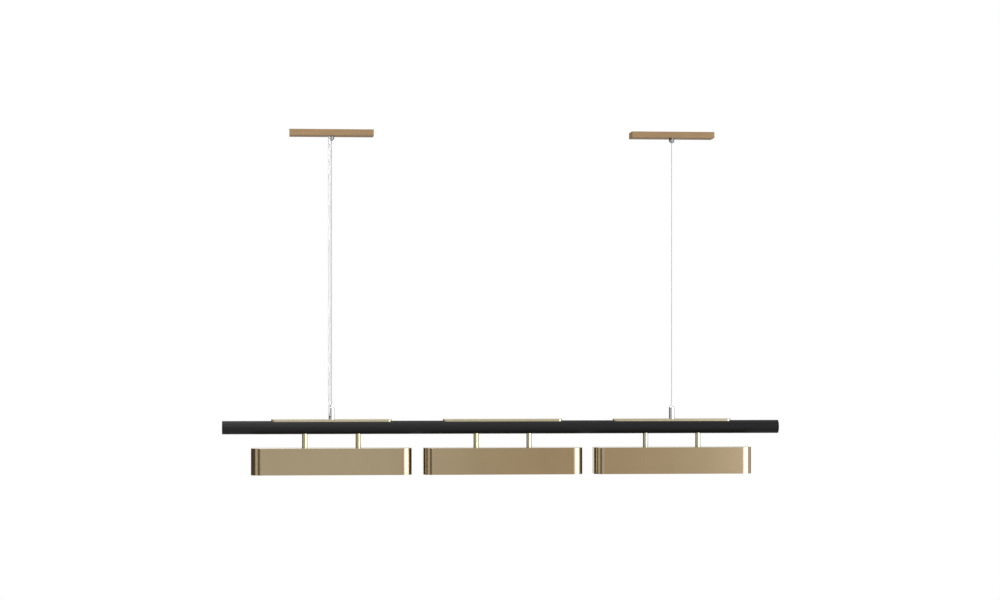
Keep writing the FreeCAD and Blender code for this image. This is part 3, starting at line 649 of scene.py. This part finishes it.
# A coil about Z with its lower end at Z = 0
def coilSpring():
    deselectAll()
    bpy.ops.mesh.primitive_circle_add(
        vertices=springLook["facets"],
        radius=springLook["wire"] / 2,
        location=(springLook["meanRadius"], 0, springLook["wire"] / 2),
        rotation=(math.radians(90), 0, 0),
    )
    spring = bpy.context.object
    settled(spring)
    steps = springLook["turns"] * springLook["ringsPerTurn"]
    wound(spring, springLook["turns"], springDrop - springLook["wire"], steps)
    smoothed(spring, springLook["sharpFrom"])
    wears(spring, finishes["springSteel"])
    return spring


firstSpring = coilSpring()
for side, x in sides.items():
    spring = placedCopy(firstSpring, side + "PlungerSpring", (x, 0, springLook["bottom"]))
    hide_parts(side + "_gripper_spring")
    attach(spring, "fixture")
    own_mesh(spring)
bpy.data.objects.remove(firstSpring, do_unlink=True)
print("plunger springs")


# Floor and background

studio = {
    "floorLevel": -8.2,
    "floorSize": 60.0,
    "floorTone": (0.86, 0.86, 0.86),
    "floorRoughness": 0.7,
    "floorWhite": (0.88, 1.0),  # under the lamp, and far out, where it meets the white background
    "whiteSpan": (1.0, 14.0),  # metres from the middle over which it turns white
    "glow": 0.35,  # the world's strength as a light
}


# 1 for the rays that should see the white background: from the camera, and in metal and clear pieces
def seenRays(tree):
    rays = addNode(tree, "ShaderNodeLightPath")
    total = rays.outputs["Is Camera Ray"]
    for kind in ("Is Glossy Ray", "Is Transmission Ray"):
        total = computed(tree, "ADD", total, rays.outputs[kind], use_clamp=True)
    return total


def blended(tree, share, first, second):
    blend = addNode(tree, "ShaderNodeMixShader")
    tree.links.new(share, blend.inputs["Fac"])
    tree.links.new(first, blend.inputs[1])
    tree.links.new(second, blend.inputs[2])
    return blend.outputs["Shader"]


# A matt floor that shows the lamp's shadow, seen through a white that gets stronger with the distance
def floorFinish():
    material, tree, shader = newMaterial("paleFloor")
    shader.inputs["Base Color"].default_value = (*studio["floorTone"], 1)
    shader.inputs["Roughness"].default_value = studio["floorRoughness"]
    white = addNode(tree, "ShaderNodeEmission")
    coordinates = addNode(tree, "ShaderNodeTexCoord")
    distance = addNode(tree, "ShaderNodeVectorMath", operation="LENGTH")
    tree.links.new(coordinates.outputs["Object"], distance.inputs[0])
    whiteness = ranged(
        tree,
        distance.outputs["Value"],
        *studio["floorWhite"],
        span=studio["whiteSpan"],
        interpolation_type="SMOOTHSTEP",
    )
    share = computed(tree, "MULTIPLY", seenRays(tree), whiteness)
    surface = blended(tree, share, shader.outputs["BSDF"], white.outputs["Emission"])
    tree.links.new(surface, tree.nodes["Material Output"].inputs["Surface"])
    return material


deselectAll()
bpy.ops.mesh.primitive_plane_add(size=studio["floorSize"], location=(0, 0, studio["floorLevel"]))
floor = bpy.context.object
floor.name = "floor"
wears(floor, floorFinish())


def background(tree, strength):
    item = addNode(tree, "ShaderNodeBackground")
    item.inputs["Color"].default_value = (1, 1, 1, 1)
    item.inputs["Strength"].default_value = strength
    return item.outputs["Background"]


world = bpy.context.scene.world or bpy.data.worlds.new("studio")
bpy.context.scene.world = world
world.use_nodes = True
worldTree = world.node_tree
worldTree.nodes.clear()
glow = background(worldTree, studio["glow"])
white = background(worldTree, 1.0)  # a strength of 1 is white
output = addNode(worldTree, "ShaderNodeOutputWorld")
worldTree.links.new(blended(worldTree, seenRays(worldTree), glow, white), output.inputs["Surface"])
print("floor and background")


# Lamps and cards of the studio

plainLight = {"colour": (1, 1, 1), "inMetal": True, "onMatt": True}
lights = {
    "keySoft": {
        "place": (-1.5, -1.7, 0.4),
        "target": (-0.2, 0, -0.75),
        "size": (1.2, 0.9),
        "power": 40,
        "inMetal": False,
    },
    "fillSoft": {
        "place": (1.4, -3.0, 1.2),
        "target": (0.2, 0, -0.75),
        "size": (2.0, 1.2),
        "power": 14,
        "inMetal": False,
    },
    "leftSoft": {"place": (-1.7, -3.3, 1.7), "target": (-0.6, 0, -0.78), "size": (2.2, 1.3), "power": 52},
    "underSoft": {
        "place": (0.0, -0.6, -4.0),
        "target": (0, 0, -0.9),
        "size": (3.0, 2.0),
        "power": 25,
        "inMetal": False,
    },
    "topSoft": {"place": (-0.7, -0.1, 2.6), "target": (-0.5, 0, -0.8), "size": (1.8, 1.2), "power": 30},
    "rightStrip": {  # the white bands on the right corners
        "place": (3.0, -2.85, -0.75),
        "target": (0, -2.85, -0.75),
        "size": (4.1, 1.5),
        "power": 88,
        "colour": (0.80, 0.91, 1.0),
        "onMatt": False,
    },
    "rightFade": {  # the soft start of those bands
        "place": (2.7, -5.6, -0.75),
        "target": (0.2, 0, -0.85),
        "size": (1.5, 1.6),
        "power": 12,
        "onMatt": False,
    },
}


# A rectangular lamp that may be kept out of the metal, or show in the metal alone
def softLight(name, ownLook):
    look = {**plainLight, **ownLook}
    light = bpy.data.lights.new(name, "AREA")
    light.shape = "RECTANGLE"
    light.size, light.size_y = look["size"]
    light.energy = look["power"]
    light.color = look["colour"]
    lamp = bpy.data.objects.new(name, light)
    lamp.location = look["place"]
    lamp.rotation_euler = (Vector(look["target"]) - Vector(look["place"])).to_track_quat("-Z", "Y").to_euler()
    bpy.context.scene.collection.objects.link(lamp)
    lamp.visible_glossy = look["inMetal"]
    lamp.visible_diffuse = look["onMatt"]


for name, look in lights.items():
    softLight(name, look)

cards = {
    "leftCard": {"place": (-3.6, 0.0, -0.8), "turn": 0, "size": (2.6, 2.6), "tone": (0.16, 0.14, 0.11)},
    "leftBackCard": {"place": (-2.3, 1.6, -0.8), "turn": -60, "size": (2.6, 2.4), "tone": (0.12, 0.11, 0.09)},
    "leftStripCard": {
        "place": (-2.35, -3.9, -0.8),
        "turn": 62,
        "size": (2.6, 1.9),
        "tone": (0.25, 0.22, 0.17),
    },
    "rightBackCard": {"place": (2.1, 2.0, -0.8), "turn": 50, "size": (2.6, 2.2), "tone": (0.30, 0.27, 0.22)},
    "warmCard": {"place": (1.1, -7.6, -0.8), "turn": 82, "size": (2.6, 1.35), "tone": (0.76, 0.66, 0.55)},
}


# A glowing upright card that lights nothing but shows in metal: stripes on the corners, warmer faces
def studioCard(name, look):
    deselectAll()
    upright = (0, math.radians(90), math.radians(look["turn"]))
    bpy.ops.mesh.primitive_plane_add(size=1, location=look["place"], rotation=upright)
    card = bpy.context.object
    card.name = name
    card.scale = (*look["size"], 1)
    settled(card)
    material, tree, shader = newMaterial(name)
    shader.inputs["Base Color"].default_value = (0, 0, 0, 1)
    shader.inputs["Specular IOR Level"].default_value = 0.0
    shader.inputs["Emission Color"].default_value = (*look["tone"], 1)
    shader.inputs["Emission Strength"].default_value = 1.0
    wears(card, material)
    card.visible_camera = False
    card.visible_diffuse = False
    card.visible_shadow = False


for name, look in cards.items():
    studioCard(name, look)
print("lamps and cards")


# Camera, level and with its picture shifted up a little

view = {
    "place": (-0.5607, -6.5, -0.59),
    "turn": 0.08502,  # radians to the right
    "focus": 2474.64,  # pixels
    "lift": 55.17,  # pixels
    "pictureWidth": 1000,  # pixels
    "sensorWidth": 36,  # millimetres
}
camera = bpy.data.cameras.new("camera")
camera.sensor_width = view["sensorWidth"]
camera.lens = view["focus"] / view["pictureWidth"] * view["sensorWidth"]
camera.shift_y = view["lift"] / view["pictureWidth"]
cameraObject = bpy.data.objects.new("camera", camera)
cameraObject.location = view["place"]
cameraObject.rotation_euler = (math.radians(90), 0, -view["turn"])
bpy.context.scene.collection.objects.link(cameraObject)
bpy.context.scene.camera = cameraObject
bpy.context.scene.view_settings.view_transform = "Standard"
print("camera")
